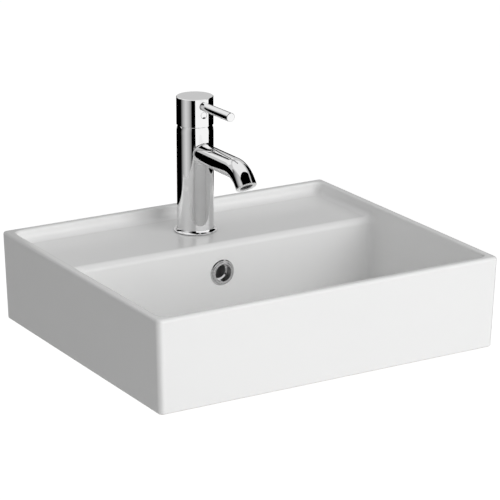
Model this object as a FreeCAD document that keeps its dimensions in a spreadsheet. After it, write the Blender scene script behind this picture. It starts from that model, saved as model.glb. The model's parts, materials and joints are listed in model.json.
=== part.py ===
import FreeCAD, Part
import Sketcher
import math
import os
import re
from FreeCAD import Placement, Rotation, Vector

# Wall-hung ceramic basin with a one-hole lever mixer, an overflow and a push-to-open waste.
# Lengths are in millimetres and angles in degrees.
# X runs along the wall, -Y points into the room and +Z is up.
# The origin is the middle of the two wall-bolt holes, on the wall face.

SIZES = {
    # Basin outside
    "basin_width": 500, "basin_depth": 430, "basin_height": 122.5,
    "side_draft": 4, "front_draft": 3.4,
    "front_corner_radius": 7, "back_corner_radius": 5,
    "rim_outer_round": 4, "rim_inner_round": 3, "foot_round": 2.5,
    # Basin inside
    "rim_wall": 11, "rim_back": 13,
    "bowl_front_radius": 13, "ledge_back_radius": 12,
    "deck_drop": 16.5, "ledge_depth": 151.5, "ledge_round": 9, "deck_blend": 10,
    "floor_blend": 6,
    "dish_radius": 95, "dish_drop": 3.5, "seat_radius": 34,
    # Basin underside
    "deck_wall": 14, "bowl_back_wall": 12, "floor_wall": 12.5, "hollow_wall": 12,
    "boss_radius": 45, "boss_depth": 20.5,
    "duct_width": 30, "duct_depth": 18, "duct_wall": 7, "duct_height": 7.5, "duct_cover": 8,
    # Holes in the basin
    "fixing_drop": 68, "fixing_spacing": 280, "fixing_hole_radius": 7,
    "tap_to_bowl": 71.5, "tap_hole_radius": 17.5,
    "overflow_drop": 57.3, "overflow_hole_radius": 12.7,
    "waste_to_ledge": 123.5, "waste_hole_radius": 22.5,
    # Overflow ring
    "overflow_ring_radius": 18, "overflow_ring_height": 3.6, "overflow_ring_round": 1.5,
    "overflow_bore_radius": 11.8, "overflow_tube_length": 10, "overflow_tube_gap": 0.1,
    # Waste
    "tail_radius": 20.9, "tail_bore_radius": 18.2, "tail_length": 64,
    "tail_end_radius": 20, "tail_end_length": 20,
    "flange_radius": 32, "flange_floor": 1.2, "flange_lip": 1.5, "flange_lip_width": 2,
    "flange_seal_height": 1.5, "slot_width": 9,
    "hub_radius": 9, "hub_top": 22, "hub_height": 12, "spoke_width": 6, "spoke_height": 8,
    "sleeve_radius": 6, "sleeve_length": 24, "sleeve_flange_radius": 8.5,
    "sleeve_flange_height": 2, "sleeve_gap": 0.05,
    "stem_radius": 3.9, "stem_gap": 0.06, "stem_tail": 3,
    "clip_radius": 6.5, "clip_height": 2, "clip_margin": 0.5, "plug_travel": 9,
    "plug_radius": 28.2, "plug_height": 3.4, "plug_round": 1.6,
    "plug_neck_radius": 9, "plug_neck_height": 8,
    "plug_seal_inner": 20, "plug_seal_outer": 25, "plug_seal_height": 1.5,
    "tail_gap": 0.15,
    "cone_seal_radius": 33, "cone_seal_foot": 29, "cone_seal_height": 6,
    "waste_washer_radius": 31, "waste_washer_height": 2,
    "backnut_across": 56, "backnut_height": 11,
    # Mixer body
    "body_radius": 24.85, "shoulder_lift": 12.3, "body_wall": 3.2,
    "foot_seal_height": 1, "foot_seal_inner": 20, "foot_seal_outer": 26.5,
    "foot_ring_radius": 29.6, "foot_ring_height": 4.2, "foot_ring_floor": 1.2, "foot_ring_bore": 18,
    "foot_ring_round": 0.5, "foot_ring_gap": 0.15, "foot_ring_rim": 1.6, "foot_ring_lip": 0.4,
    "foot_ring_flare": 2.4,
    "base_height": 9.9, "seat_thickness": 18,
    "gallery_radius": 18.9, "gallery_height": 29, "collar_bore_radius": 17.75, "nut_bore_radius": 19.1,
    "inlet_offset": 8.2, "inlet_radius": 4.5, "inlet_depth": 12,
    "port_offset_x": 6, "port_offset_y": 3, "port_radius": 2.6,
    "peg_offset": 9, "peg_radius": 2, "peg_length": 3, "peg_gap": 0.1,
    # Spout
    "spout_drop": 26.1, "spout_radius": 14, "stub_reach": 30, "stub_round": 2.2,
    "spout_bore_radius": 9.2, "spigot_radius": 11, "spigot_length": 7, "spigot_gap": 0.1,
    "bend_start": 102.6, "bend_radius": 36, "bend_angle": 52, "spout_end": 6.9, "spout_edge": 0.6,
    # Aerator
    "aerator_radius": 11.6, "aerator_depth": 10, "aerator_gap": 0.1, "aerator_mouth": 8.2,
    "aerator_lip": 2, "aerator_chamfer": 1, "insert_height": 5, "insert_gap": 0.1,
    "jet_pitch": 3.6, "jet_size": 2.6,
    "aerator_seal_height": 1.5, "aerator_seal_wall": 2,
    # Cartridge, heights from the lever's pivot
    "pivot_height": 137.8, "housing_radius": 17.6, "housing_wall": 2.3, "housing_top": 5.2,
    "housing_plate": 2.2, "neck_radius": 12.5, "neck_gap": 0.3, "neck_top": 16,
    "drum_radius": 15, "drum_bottom": 7, "drum_gap": 0.2,
    "stem_width": 8, "stem_top": 34, "stem_bottom": 4,
    "slot_side_gap": 0.2, "slot_front": 5.6, "slot_rear": 10.9,
    "axle_radius": 2, "axle_length": 26, "axle_gap": 0.03,
    "finger_radius": 1.6, "ball_radius": 2.6, "ball_drop": 12, "ball_gap": 0.35, "ball_side": 4,
    "carrier_radius": 10.5, "carrier_top": 9, "carrier_bottom": 16.5, "carrier_floor": 1,
    "disc_height": 4.5, "mixing_radius": 6, "mixing_depth": 2.5,
    "fixed_disc_radius": 14.5, "fixed_disc_height": 5, "outlet_offset": 6.5, "outlet_radius": 2.6,
    "base_radius": 17.3, "inlet_seal_radius": 4.9, "inlet_seal_height": 1.5, "inlet_seal_gap": 0.2,
    "nut_height": 6.7, "nut_gap": 0.1, "key_width": 4, "key_depth": 2,
    "dome_wall": 1.4,
    # Handle
    "cap_lift": 10.2, "cap_gap": 0.4, "cap_height": 38.3, "cap_wall": 3, "cap_plate": 5, "cap_edge": 0.3,
    "cap_mouth_rise": 4.5, "cap_top_chamfer": 0.8,
    "cap_boss_radius": 10, "cap_boss_bottom": 24.6, "cap_rib_width": 14, "socket_gap": 0.1,
    "lever_drop": 10.1, "lever_rise": 0.7, "lever_radius": 6, "lever_reach": 95.2, "lever_root": 22.6,
    "lever_spigot_radius": 3, "lever_spigot_root": 11, "lever_gap": 0.05, "lever_recess_gap": 0.4,
    "lever_chamfer": 0.5,
    "screw_drop": 11.7, "screw_radius": 2.5, "screw_length": 9, "screw_gap": 0.05, "screw_key_radius": 1.4,
    "index_radius": 4.5, "index_root": 21, "index_face": 24.65, "index_gap": 0.15, "index_round": 0.5,
    # Fixing under the ledge
    "stud_offset": 11.5, "stud_radius": 4, "stud_engage": 11, "stud_drop": 58, "stud_gap": 0.05,
    "shoe_radius": 25, "shoe_slot_half": 16, "shoe_slot_end": 7, "shoe_seal_height": 2, "shoe_height": 2.5,
    "fixing_nut_across": 13, "fixing_nut_height": 9,
}

doc = FreeCAD.newDocument("WallHungBasin")
sheet = doc.addObject("Spreadsheet::Sheet", "Sizes")
for row, (alias, size) in enumerate(SIZES.items(), start=1):
    sheet.set(f"A{row}", str(size))
    sheet.setAlias(f"A{row}", alias)
doc.recompute()

# Heights and positions that several pieces share
RIM = "fixing_drop"
DECK = "(fixing_drop - deck_drop)"
BOWL = "(basin_height - floor_wall)"
SEAT = f"(fixing_drop - {BOWL} - dish_drop)"
TAP_AWAY = "(ledge_depth - tap_to_bowl)"
WASTE_AWAY = "(ledge_depth + waste_to_ledge)"
AT_BASIN = ("0", "0", RIM)
AT_MIXER = ("0", f"-{TAP_AWAY}", DECK)
AT_PIVOT = ("0", f"-{TAP_AWAY}", f"{DECK} + pivot_height")
AT_WASTE = ("0", f"-{WASTE_AWAY}", SEAT)
HOLLOW_HALF = "(basin_width / 2 - side_draft - hollow_wall)"
LEDGE_BACK = "(ledge_depth - bowl_back_wall)"
DUCT_TOP = f"({BOWL} + dish_drop + duct_cover)"
DUCT_BOTTOM = f"({DUCT_TOP} + duct_height)"
BOSS_BOTTOM = f"({BOWL} + dish_drop + boss_depth)"

# Heights in the waste, from the drain's seat
PLUG_BOTTOM = "(flange_seal_height + flange_floor + plug_seal_height)"
SLEEVE_LOW = "(-hub_top - sleeve_length)"
CLIP_TOP = f"({SLEEVE_LOW} - plug_travel - clip_margin)"

# Heights in the cartridge, from the lever's pivot
DISC_BOTTOM = "(carrier_bottom + disc_height)"
FIXED_BOTTOM = f"({DISC_BOTTOM} + fixed_disc_height)"
BASE_BOTTOM = f"({FIXED_BOTTOM} + base_height)"

# Heights in the mixer, from the ledge
BODY_FOOT = "(foot_seal_height + foot_ring_floor)"
BODY_TOP = "(pivot_height + shoulder_lift)"
SEAT_HEIGHT = f"(pivot_height - {BASE_BOTTOM})"
SEAT_UNDER = f"({SEAT_HEIGHT} - seat_thickness)"
SPOUT_HEIGHT = "(pivot_height - spout_drop)"
CAP_BOTTOM = "(pivot_height + cap_lift)"
CAP_TOP = "(pivot_height + cap_lift + cap_height)"
CAP_MOUTH = "sqrt((body_radius + cap_gap)^2 - cap_lift^2)"
LEVER_HEIGHT = f"({CAP_TOP} - lever_drop)"
SCREW_HEIGHT = f"({LEVER_HEIGHT} - screw_drop)"
OUTLET_OUT = "(bend_start + bend_radius * sin(bend_angle * 1 deg) + spout_end * cos(bend_angle * 1 deg))"
OUTLET_DOWN = "(bend_radius * (1 - cos(bend_angle * 1 deg)) + spout_end * sin(bend_angle * 1 deg))"

TOWARDS_ROOM = Rotation(Vector(1, 0, 0), 90)
ALONG_X = Rotation(Vector(0, 1, 0), 90)
UPRIGHT = Rotation()


def formula(text):
    """The text with each size's name pointed at its cell."""
    return re.sub(r"[a-z_]+", lambda word: f"Sizes.{word[0]}" if word[0] in SIZES else word[0], text)


def number(text):
    return float(sheet.evalExpression(formula(text)))


def bind(thing, **sizes):
    for field, text in sizes.items():
        thing.setExpression(field.replace("__", "."), formula(text))


def locate(thing, spot, turn=UPRIGHT):
    """Place a body or a feature, with its position tied to the sizes."""
    thing.Placement = Placement(Vector(*(number(text) for text in spot)), turn)
    for axis, text in zip("xyz", spot):
        thing.setExpression(f"Placement.Base.{axis}", formula(text))


def new_body(name, spot, turn=UPRIGHT):
    body = doc.addObject("PartDesign::Body", name)
    body.Label = name
    locate(body, spot, turn)
    return body


def sketch_on(body, plane, offset="0"):
    """A sketch on one of the body's own origin planes, moved along that plane's normal."""
    sketch = body.newObject("Sketcher::SketchObject", f"{body.Name}_sketch")
    planes = {feature.Role: feature for feature in body.Origin.OriginFeatures}
    sketch.AttachmentSupport = [(planes[plane], "")]
    sketch.MapMode = "FlatFace"
    bind(sketch, AttachmentOffset__Base__z=offset)
    return sketch


def fix(sketch, kind, *where, text):
    index = sketch.addConstraint(Sketcher.Constraint(kind, *where, number(text)))
    sketch.setExpression(f"Constraints[{index}]", formula(text))


def bulge(start, end, radius, side):
    """Middle point of the arc from start to end; side 1 turns left, -1 turns right."""
    half = (end - start) * 0.5
    sagitta = radius - math.sqrt(max(radius ** 2 - half.Length ** 2, 0))
    across = Vector(half.y, -half.x, 0).normalize()
    return start + half + across * (sagitta * side)


def draw(sketch, points, closed=True):
    """Lines and arcs through points (x, y) or (x, y, radius, side) for an arc that starts there."""
    spots = [Vector(number(point[0]), number(point[1]), 0) for point in points]
    total = len(points)
    edges = total if closed else total - 1
    heads = []
    for i in range(edges):
        start, end = spots[i], spots[(i + 1) % total]
        if len(points[i]) == 2:
            sketch.addGeometry(Part.LineSegment(start, end))
        else:
            middle = bulge(start, end, number(points[i][2]), points[i][3])
            ends = (start, end) if points[i][3] > 0 else (end, start)
            sketch.addGeometry(Part.Arc(ends[0], middle, ends[1]))
        forward = sketch.Geometry[i].StartPoint.distanceToPoint(start) < 1e-6
        heads.append(1 if forward else 2)
    for i in range(edges):
        tail = 3 - heads[i]
        follower = (i + 1) % total
        fix(sketch, "DistanceX", -1, 1, i, heads[i], text=points[i][0])
        fix(sketch, "DistanceY", -1, 1, i, heads[i], text=points[i][1])
        if len(points[i]) == 4:
            fix(sketch, "Radius", i, text=points[i][2])
        if follower < edges:
            sketch.addConstraint(Sketcher.Constraint("Coincident", i, tail, follower, heads[follower]))
        else:
            fix(sketch, "DistanceX", -1, 1, i, tail, text=points[follower][0])
            fix(sketch, "DistanceY", -1, 1, i, tail, text=points[follower][1])


def circle(sketch, radius):
    sketch.addGeometry(Part.Circle(Vector(0, 0, 0), Vector(0, 0, 1), number(radius)))
    sketch.addConstraint(Sketcher.Constraint("Coincident", 0, 3, -1, 1))
    fix(sketch, "Radius", 0, text=radius)


def turned(name, points, spot, turn=UPRIGHT):
    """A body of revolution about its own Z from an outline of (radius, height) points."""
    body = new_body(name, spot, turn)
    sketch = sketch_on(body, "XZ_Plane")
    draw(sketch, points)
    spin = body.newObject("PartDesign::Revolution", f"{name}_turning")
    spin.Profile = sketch
    spin.ReferenceAxis = (sketch, ["V_Axis"])
    spin.Angle = 360
    doc.recompute()
    return body


def ring(name, inner, outer, bottom, top, spot, turn=UPRIGHT):
    return turned(name, [(inner, bottom), (outer, bottom), (outer, top), (inner, top)], spot, turn)


def solid(body, kind, name, spot, turn=UPRIGHT, **sizes):
    """An additive or subtractive primitive in a body; a cut must take some material away."""
    before = body.Tip.Shape.Volume if body.Tip else 0
    feature = body.newObject(f"PartDesign::{kind}", f"{body.Name}_{name}")
    bind(feature, **sizes)
    locate(feature, spot, turn)
    doc.recompute()
    if kind.startswith("Subtractive") and body.Tip.Shape.Volume > before - 1e-3:
        raise ValueError(f"{feature.Name} cuts nothing")
    return feature


def bar(body, name, kind, low, high):
    """A box between two corners."""
    size = {field: f"({b}) - ({a})" for field, a, b in zip(("Length", "Width", "Height"), low, high)}
    return solid(body, f"{kind}Box", name, low, **size)


def bore(body, name, radius, length, spot, turn=UPRIGHT):
    return solid(body, "SubtractiveCylinder", name, spot, turn, Radius=radius, Height=length)


def rod(body, name, radius, length, spot, turn=UPRIGHT):
    return solid(body, "AdditiveCylinder", name, spot, turn, Radius=radius, Height=length)


def dress(body, name, kind, size, test):
    """Round or bevel the edges of the body that pass a test on their middle point."""
    doc.recompute()
    base = body.Tip
    chosen = []
    for index, edge in enumerate(base.Shape.Edges, start=1):
        middle = edge.valueAt((edge.FirstParameter + edge.LastParameter) / 2)
        if test(edge, middle):
            chosen.append(f"Edge{index}")
    if not chosen:
        raise ValueError(f"no edge for {name} on {body.Name}")
    feature = body.newObject(f"PartDesign::{kind}", f"{body.Name}_{name}")
    feature.Base = (base, chosen)
    bind(feature, **{"Radius" if kind == "Fillet" else "Size": size})
    doc.recompute()
    return feature


def near(value, text, slack=0.05):
    return abs(value - number(text)) < slack


def hexagon(name, across, hole, bottom, top, spot):
    """A six-sided nut with a plain hole."""
    body = new_body(name, spot)
    sketch = sketch_on(body, "XY_Plane", bottom)
    tip = f"{across} * {1 / math.sqrt(3):.6f}"
    draw(sketch, [(tip, "0"), (f"{tip} / 2", f"{across} / 2"), (f"-{tip} / 2", f"{across} / 2"),
                  (f"-{tip}", "0"), (f"-{tip} / 2", f"-{across} / 2"), (f"{tip} / 2", f"-{across} / 2")])
    pad = body.newObject("PartDesign::Pad", f"{name}_prism")
    pad.Profile = sketch
    bind(pad, Length=f"({top}) - ({bottom})")
    doc.recompute()
    bore(body, "hole", hole, f"({top}) - ({bottom}) + 2", ("0", "0", f"{bottom} - 1"))
    return body


def frustum(body, name, kind, low, high):
    """A four-sided block with leaning faces; low and high are (height, half width, back, front)."""
    return solid(body, f"{kind}Wedge", name, ("0", "0", "0"), TOWARDS_ROOM,
                 Ymin=low[0], Xmin=f"-({low[1]})", Xmax=low[1], Zmin=low[2], Zmax=low[3],
                 Ymax=high[0], X2min=f"-({high[1]})", X2max=high[1], Z2min=high[2], Z2max=high[3])


def upright(edge):
    ends = [vertex.Point for vertex in edge.Vertexes]
    return len(ends) == 2 and abs(ends[0].z - ends[1].z) > 0.9 * edge.Length


def basin_shell(body):
    """The outside with its draft, the full inside, and the ledge block that carries the mixer."""
    half = "basin_width / 2"
    frustum(body, "outside", "Additive",
            ("-basin_height", f"{half} - side_draft", "0", "basin_depth - front_draft"),
            ("0", half, "0", "basin_depth"))
    dress(body, "front_corners", "Fillet", "front_corner_radius",
          lambda edge, p: upright(edge) and p.y < -number("ledge_depth"))
    dress(body, "back_corners", "Fillet", "back_corner_radius",
          lambda edge, p: upright(edge) and near(p.y, "0"))
    lean = f"({BOWL} / basin_height)"
    inner = f"({half} - rim_wall)"
    frustum(body, "inside", "Subtractive",
            (f"-{BOWL}", f"{inner} - side_draft * {lean}", "rim_back",
             f"basin_depth - rim_wall - front_draft * {lean}"),
            ("0", inner, "rim_back", "basin_depth - rim_wall"))
    wall = number(half) - number("rim_wall") + 1
    dress(body, "bowl_corners", "Fillet", "bowl_front_radius",
          lambda edge, p: upright(edge) and p.y < -number("ledge_depth") and abs(p.x) < wall
          and p.y > number("rim_wall / 2 - basin_depth"))
    dress(body, "ledge_corners", "Fillet", "ledge_back_radius",
          lambda edge, p: upright(edge) and near(p.y, "-rim_back") and abs(p.x) < wall)
    ledge_half = f"({half} - side_draft - rim_wall / 4)"
    bar(body, "ledge", "Additive", (f"-{ledge_half}", "-ledge_depth", f"-{BOWL} - floor_wall / 2"),
        (ledge_half, "-rim_back / 2", "-deck_drop"))


def basin_blends(body):
    """The soft edges of a glazed casting, inside first."""
    dress(body, "ledge_front", "Fillet", "ledge_round",
          lambda edge, p: near(p.y, "-ledge_depth") and near(p.z, "-deck_drop"))
    dress(body, "deck_sides", "Fillet", "deck_blend",
          lambda edge, p: near(p.y, "-rim_back") and near(p.z, "-deck_drop"))
    dress(body, "floor_edge", "Fillet", "floor_blend",
          lambda edge, p: near(p.x, "0") and near(p.z, f"-{BOWL}") and p.y < -number(WASTE_AWAY))
    dress(body, "rim_outside", "Fillet", "rim_outer_round",
          lambda edge, p: near(p.z, "0") and near(p.y, "-basin_depth") and near(p.x, "0"))
    dress(body, "rim_inside", "Fillet", "rim_inner_round",
          lambda edge, p: near(p.z, "0") and near(p.y, "rim_wall - basin_depth") and near(p.x, "0"))
    dress(body, "foot", "Fillet", "foot_round",
          lambda edge, p: near(p.z, "-basin_height") and near(p.x, "0") and p.y < -number("ledge_depth"))


def basin_underside(body):
    """A hollow under the ledge, then the drain boss and the overflow duct below the floor."""
    bar(body, "ledge_hollow", "Subtractive", (f"-{HOLLOW_HALF}", f"-{LEDGE_BACK}", "-basin_height - 1"),
        (HOLLOW_HALF, "-rim_back", "-deck_drop - deck_wall"))
    in_floor = f"-{BOWL} - floor_wall / 2"
    rod(body, "drain_boss", "boss_radius", f"{BOSS_BOTTOM} + {in_floor}",
        ("0", f"-{WASTE_AWAY}", f"-{BOSS_BOTTOM}"))
    outer = "(duct_width / 2 + duct_wall)"
    duct_rear = f"({LEDGE_BACK} - duct_depth)"
    bar(body, "duct_floor", "Additive", (f"-{outer}", f"-{WASTE_AWAY}", f"-{BOSS_BOTTOM}"),
        (outer, f"-{duct_rear} + duct_wall", in_floor))
    bar(body, "duct_riser", "Additive", (f"-{outer}", f"-{LEDGE_BACK} - 1", f"-{BOSS_BOTTOM}"),
        (outer, f"-{duct_rear} + duct_wall", "-deck_drop - deck_wall + 1"))
    bar(body, "duct_way", "Subtractive", ("-duct_width / 2", f"-{WASTE_AWAY}", f"-{DUCT_BOTTOM}"),
        ("duct_width / 2", f"-{duct_rear}", f"-{DUCT_TOP}"))
    bar(body, "riser_way", "Subtractive", ("-duct_width / 2", f"-{LEDGE_BACK}", f"-{DUCT_BOTTOM}"),
        ("duct_width / 2", f"-{duct_rear}", "-overflow_drop + overflow_hole_radius + 2"))


def basin_holes(body):
    """Drain dish and hole, overflow, tap hole and the two wall-bolt holes."""
    solid(body, "SubtractiveCone", "dish", ("0", f"-{WASTE_AWAY}", f"-{BOWL} - dish_drop"),
          Radius1="seat_radius", Radius2="dish_radius", Height="dish_drop")
    bore(body, "waste_hole", "waste_hole_radius", "boss_depth + 4",
         ("0", f"-{WASTE_AWAY}", f"-{BOSS_BOTTOM} - 2"))
    bore(body, "overflow_hole", "overflow_hole_radius", "bowl_back_wall + 4",
         ("0", f"-{LEDGE_BACK} + 2", "-overflow_drop"), TOWARDS_ROOM)
    bore(body, "tap_hole", "tap_hole_radius", "deck_wall + 4",
         ("0", f"-{TAP_AWAY}", "-deck_drop - deck_wall - 2"))
    for side, sign in (("left", "-"), ("right", "")):
        bore(body, f"{side}_bolt_hole", "fixing_hole_radius", "rim_back + 4",
             (f"{sign}fixing_spacing / 2", "2", "-fixing_drop"), TOWARDS_ROOM)


def make_basin():
    body = new_body("basin_body", AT_BASIN)
    basin_shell(body)
    basin_blends(body)
    basin_underside(body)
    basin_holes(body)
    return [body]


def make_overflow():
    """A rounded ring on the bowl's back wall with a short tube through the wall."""
    tube = "(overflow_hole_radius - overflow_tube_gap)"
    body = turned("overflow_ring", [
        ("overflow_bore_radius", "-overflow_tube_length"), (tube, "-overflow_tube_length"), (tube, "0"),
        ("overflow_ring_radius", "0"), ("overflow_ring_radius", "overflow_ring_height"),
        ("overflow_bore_radius", "overflow_ring_height")],
        ("0", "-ledge_depth", f"{RIM} - overflow_drop"), TOWARDS_ROOM)
    dress(body, "lip", "Fillet", "overflow_ring_round",
          lambda edge, p: near(p.z, "overflow_ring_height"))
    return [body]


def make_waste_body():
    """Flanged tail with overflow slots and a spoked hub for the plug's sleeve."""
    floor = "(flange_seal_height + flange_floor)"
    lip = "(flange_seal_height + flange_floor + flange_lip)"
    step = "tail_end_length - tail_length"
    body = turned("waste_body", [
        ("tail_bore_radius", "-tail_length"), ("tail_end_radius", "-tail_length"),
        ("tail_end_radius", step), ("tail_radius", step), ("tail_radius", "flange_seal_height"),
        ("flange_radius", "flange_seal_height"), ("flange_radius", f"{lip} - flange_lip / 2"),
        ("flange_radius - flange_lip / 2", lip), ("flange_radius - flange_lip_width", lip),
        ("flange_radius - flange_lip_width - flange_lip / 2", floor), ("tail_bore_radius", floor)], AT_WASTE)
    reach = "(tail_radius + 1)"
    slot = "slot_width / 2"
    top, bottom = "-duct_cover", "-duct_cover - duct_height"
    bar(body, "slots_across", "Subtractive", (f"-{reach}", f"-{slot}", bottom), (reach, slot, top))
    bar(body, "slots_along", "Subtractive", (f"-{slot}", f"-{reach}", bottom), (slot, reach, top))
    span = "(tail_bore_radius + (tail_radius - tail_bore_radius) / 2)"
    spoke = "spoke_width / 2"
    low, high = "-hub_top - spoke_height", "-hub_top"
    bar(body, "spoke_across", "Additive", (f"-{span}", f"-{spoke}", low), (span, spoke, high))
    bar(body, "spoke_along", "Additive", (f"-{spoke}", f"-{span}", low), (spoke, span, high))
    rod(body, "hub", "hub_radius", "hub_height", ("0", "0", "-hub_top - hub_height"))
    bore(body, "hub_hole", "sleeve_radius", "hub_height + 2", ("0", "0", "-hub_top - hub_height - 1"))
    return body


def make_waste():
    inner = "(tail_radius + tail_gap)"
    washer_top = "-boss_depth - cone_seal_height"
    nut_top = f"{washer_top} - waste_washer_height"
    sleeve_bore = "(stem_radius + stem_gap)"
    sleeve_outer = "(sleeve_radius - sleeve_gap)"
    plug_top = f"{PLUG_BOTTOM} + plug_height"
    plug = turned("waste_plug", [
        ("stem_radius", f"{PLUG_BOTTOM} - plug_neck_height"),
        ("plug_neck_radius", f"{PLUG_BOTTOM} - plug_neck_height"), ("plug_neck_radius", PLUG_BOTTOM),
        ("plug_radius", PLUG_BOTTOM), ("plug_radius", plug_top), ("0", plug_top),
        ("0", PLUG_BOTTOM), ("stem_radius", PLUG_BOTTOM)], AT_WASTE)
    dress(plug, "edge", "Fillet", "plug_round",
          lambda edge, p: near(p.z, plug_top) and near(math.hypot(p.x, p.y), "plug_radius"))
    return [
        make_waste_body(), plug,
        ring("flange_seal", inner, "flange_radius - 1", "0", "flange_seal_height", AT_WASTE),
        turned("cone_seal", [
            (inner, washer_top), ("cone_seal_foot", washer_top), ("cone_seal_radius", "-boss_depth"),
            (inner, "-boss_depth")], AT_WASTE),
        ring("waste_washer", inner, "waste_washer_radius", nut_top, washer_top, AT_WASTE),
        hexagon("waste_backnut", "backnut_across", inner, f"{nut_top} - backnut_height", nut_top, AT_WASTE),
        turned("plug_sleeve", [
            (sleeve_bore, SLEEVE_LOW), (sleeve_outer, SLEEVE_LOW), (sleeve_outer, "-hub_top"),
            ("sleeve_flange_radius", "-hub_top"),
            ("sleeve_flange_radius", "-hub_top + sleeve_flange_height"),
            (sleeve_bore, "-hub_top + sleeve_flange_height")], AT_WASTE),
        ring("plug_stem", "0", "stem_radius", f"{CLIP_TOP} - clip_height - stem_tail", PLUG_BOTTOM,
             AT_WASTE),
        ring("stem_clip", "stem_radius", "clip_radius", f"{CLIP_TOP} - clip_height", CLIP_TOP, AT_WASTE),
        ring("plug_seal", "plug_seal_inner", "plug_seal_outer", f"{PLUG_BOTTOM} - plug_seal_height",
             PLUG_BOTTOM, AT_WASTE),
    ]


def make_mixer_body():
    """A round body with a ball-shaped shoulder, a stub for the spout, and the cartridge chamber."""
    top_radius = "sqrt(body_radius^2 - shoulder_lift^2)"
    body = turned("mixer_body", [
        ("0", BODY_FOOT), ("body_radius", BODY_FOOT), ("body_radius", "pivot_height", "body_radius", 1),
        (top_radius, BODY_TOP), ("0", BODY_TOP)], AT_MIXER)
    rod(body, "spout_stub", "spout_radius", "stub_reach", ("0", "0", SPOUT_HEIGHT), TOWARDS_ROOM)
    dress(body, "stub_root", "Fillet", "stub_round",
          lambda edge, p: p.y < -number("spout_radius") and near(math.hypot(p.x, p.y), "body_radius")
          and abs(p.z - number(SPOUT_HEIGHT)) < number("spout_radius") + 1 and len(edge.Vertexes) < 3
          and edge.Curve.TypeId != "Part::GeomLine")
    bore(body, "hose_way", "body_radius - body_wall", f"{SEAT_UNDER} - {BODY_FOOT} + 1",
         ("0", "0", f"{BODY_FOOT} - 1"))
    chamber_top = "(pivot_height + housing_top)"
    bore(body, "gallery", "gallery_radius", "gallery_height", ("0", "0", SEAT_HEIGHT))
    bore(body, "collar_bore", "collar_bore_radius", f"{chamber_top} - {SEAT_HEIGHT}",
         ("0", "0", SEAT_HEIGHT))
    bore(body, "nut_bore", "nut_bore_radius", f"{BODY_TOP} - {chamber_top} + 1", ("0", "0", chamber_top))
    bore(body, "spigot_bore", "spigot_radius", "spigot_length + 3",
         ("0", "spigot_length - stub_reach", SPOUT_HEIGHT), TOWARDS_ROOM)
    bore(body, "water_way", "spout_bore_radius", "stub_reach - gallery_radius + 4",
         ("0", "4 - gallery_radius", SPOUT_HEIGHT), TOWARDS_ROOM)
    for side, sign in (("hot", "-"), ("cold", "")):
        bore(body, f"{side}_inlet", "inlet_radius", "inlet_depth + 1",
             (f"{sign}inlet_offset", "0", f"{SEAT_UNDER} - 1"))
        bore(body, f"{side}_port", "port_radius", "seat_thickness - inlet_depth + 2",
             (f"{sign}port_offset_x", "port_offset_y", f"{SEAT_UNDER} + inlet_depth - 1"))
        bore(body, f"{side}_peg_hole", "peg_radius + peg_gap", "peg_length + 1",
             (f"{sign}peg_offset", "-peg_offset", f"{SEAT_HEIGHT} - peg_length"))
    bore(body, "stud_hole", "stud_radius + stud_gap", "stud_engage + 1",
         ("0", "stud_offset", f"{SEAT_UNDER} - 1"))
    return body


def make_foot():
    ring_top = "(foot_seal_height + foot_ring_height)"
    rim_top = "(foot_seal_height + foot_ring_rim)"
    recess = "(body_radius + foot_ring_gap)"
    lip = f"({recess} + foot_ring_lip)"
    foot = turned("foot_ring", [
        ("foot_ring_bore", "foot_seal_height"), ("foot_ring_radius", "foot_seal_height"),
        ("foot_ring_radius", rim_top), (lip, rim_top), (lip, ring_top), (recess, ring_top),
        (recess, BODY_FOOT), ("foot_ring_bore", BODY_FOOT)], AT_MIXER)
    dress(foot, "flare", "Fillet", "foot_ring_flare",
          lambda edge, p: near(p.z, rim_top) and near(math.hypot(p.x, p.y), lip))
    dress(foot, "edge", "Fillet", "foot_ring_round",
          lambda edge, p: near(p.z, rim_top) and near(math.hypot(p.x, p.y), "foot_ring_radius"))
    seal = ring("foot_seal", "foot_seal_inner", "foot_seal_outer", "0", "foot_seal_height", AT_MIXER)
    return [foot, seal]


def pipe(body, name, kind, radius, spine):
    section = sketch_on(body, "XZ_Plane", "stub_reach")
    circle(section, radius)
    feature = body.newObject(f"PartDesign::{kind}Pipe", f"{body.Name}_{name}")
    feature.Profile = section
    feature.Spine = spine
    doc.recompute()


def make_spout():
    """A bent tube on a spigot, counterbored at its outlet for the aerator."""
    body = new_body("spout", ("0", f"-{TAP_AWAY}", f"{DECK} + {SPOUT_HEIGHT}"))
    turn_out = "(bend_start + bend_radius * sin(bend_angle * 1 deg))"
    turn_down = "(bend_radius * (1 - cos(bend_angle * 1 deg)))"
    spine = sketch_on(body, "YZ_Plane")
    draw(spine, [("-stub_reach", "0"), ("-bend_start", "0", "bend_radius", 1),
                 (f"-{turn_out}", f"-{turn_down}"), (f"-{OUTLET_OUT}", f"-{OUTLET_DOWN}")], closed=False)
    pipe(body, "tube", "Additive", "spout_radius", spine)
    dress(body, "outlet_edge", "Chamfer", "spout_edge",
          lambda edge, p: p.y < -number("bend_start + spout_end") and edge.isClosed())
    rod(body, "spigot", "spigot_radius - spigot_gap", "spigot_length",
        ("0", "spigot_length - stub_reach", "0"), TOWARDS_ROOM)
    pipe(body, "way", "Subtractive", "spout_bore_radius", spine)
    bore(body, "spigot_way", "spout_bore_radius", "spigot_length + 2",
         ("0", "spigot_length + 1 - stub_reach", "0"), TOWARDS_ROOM)
    outwards = Rotation(Vector(1, 0, 0), 90 + number("bend_angle"))
    back = "(aerator_depth)"
    bore(body, "aerator_bore", "aerator_radius", "aerator_depth + 1",
         ("0", f"-{OUTLET_OUT} + {back} * cos(bend_angle * 1 deg)",
          f"-{OUTLET_DOWN} + {back} * sin(bend_angle * 1 deg)"), outwards)
    return body


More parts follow.
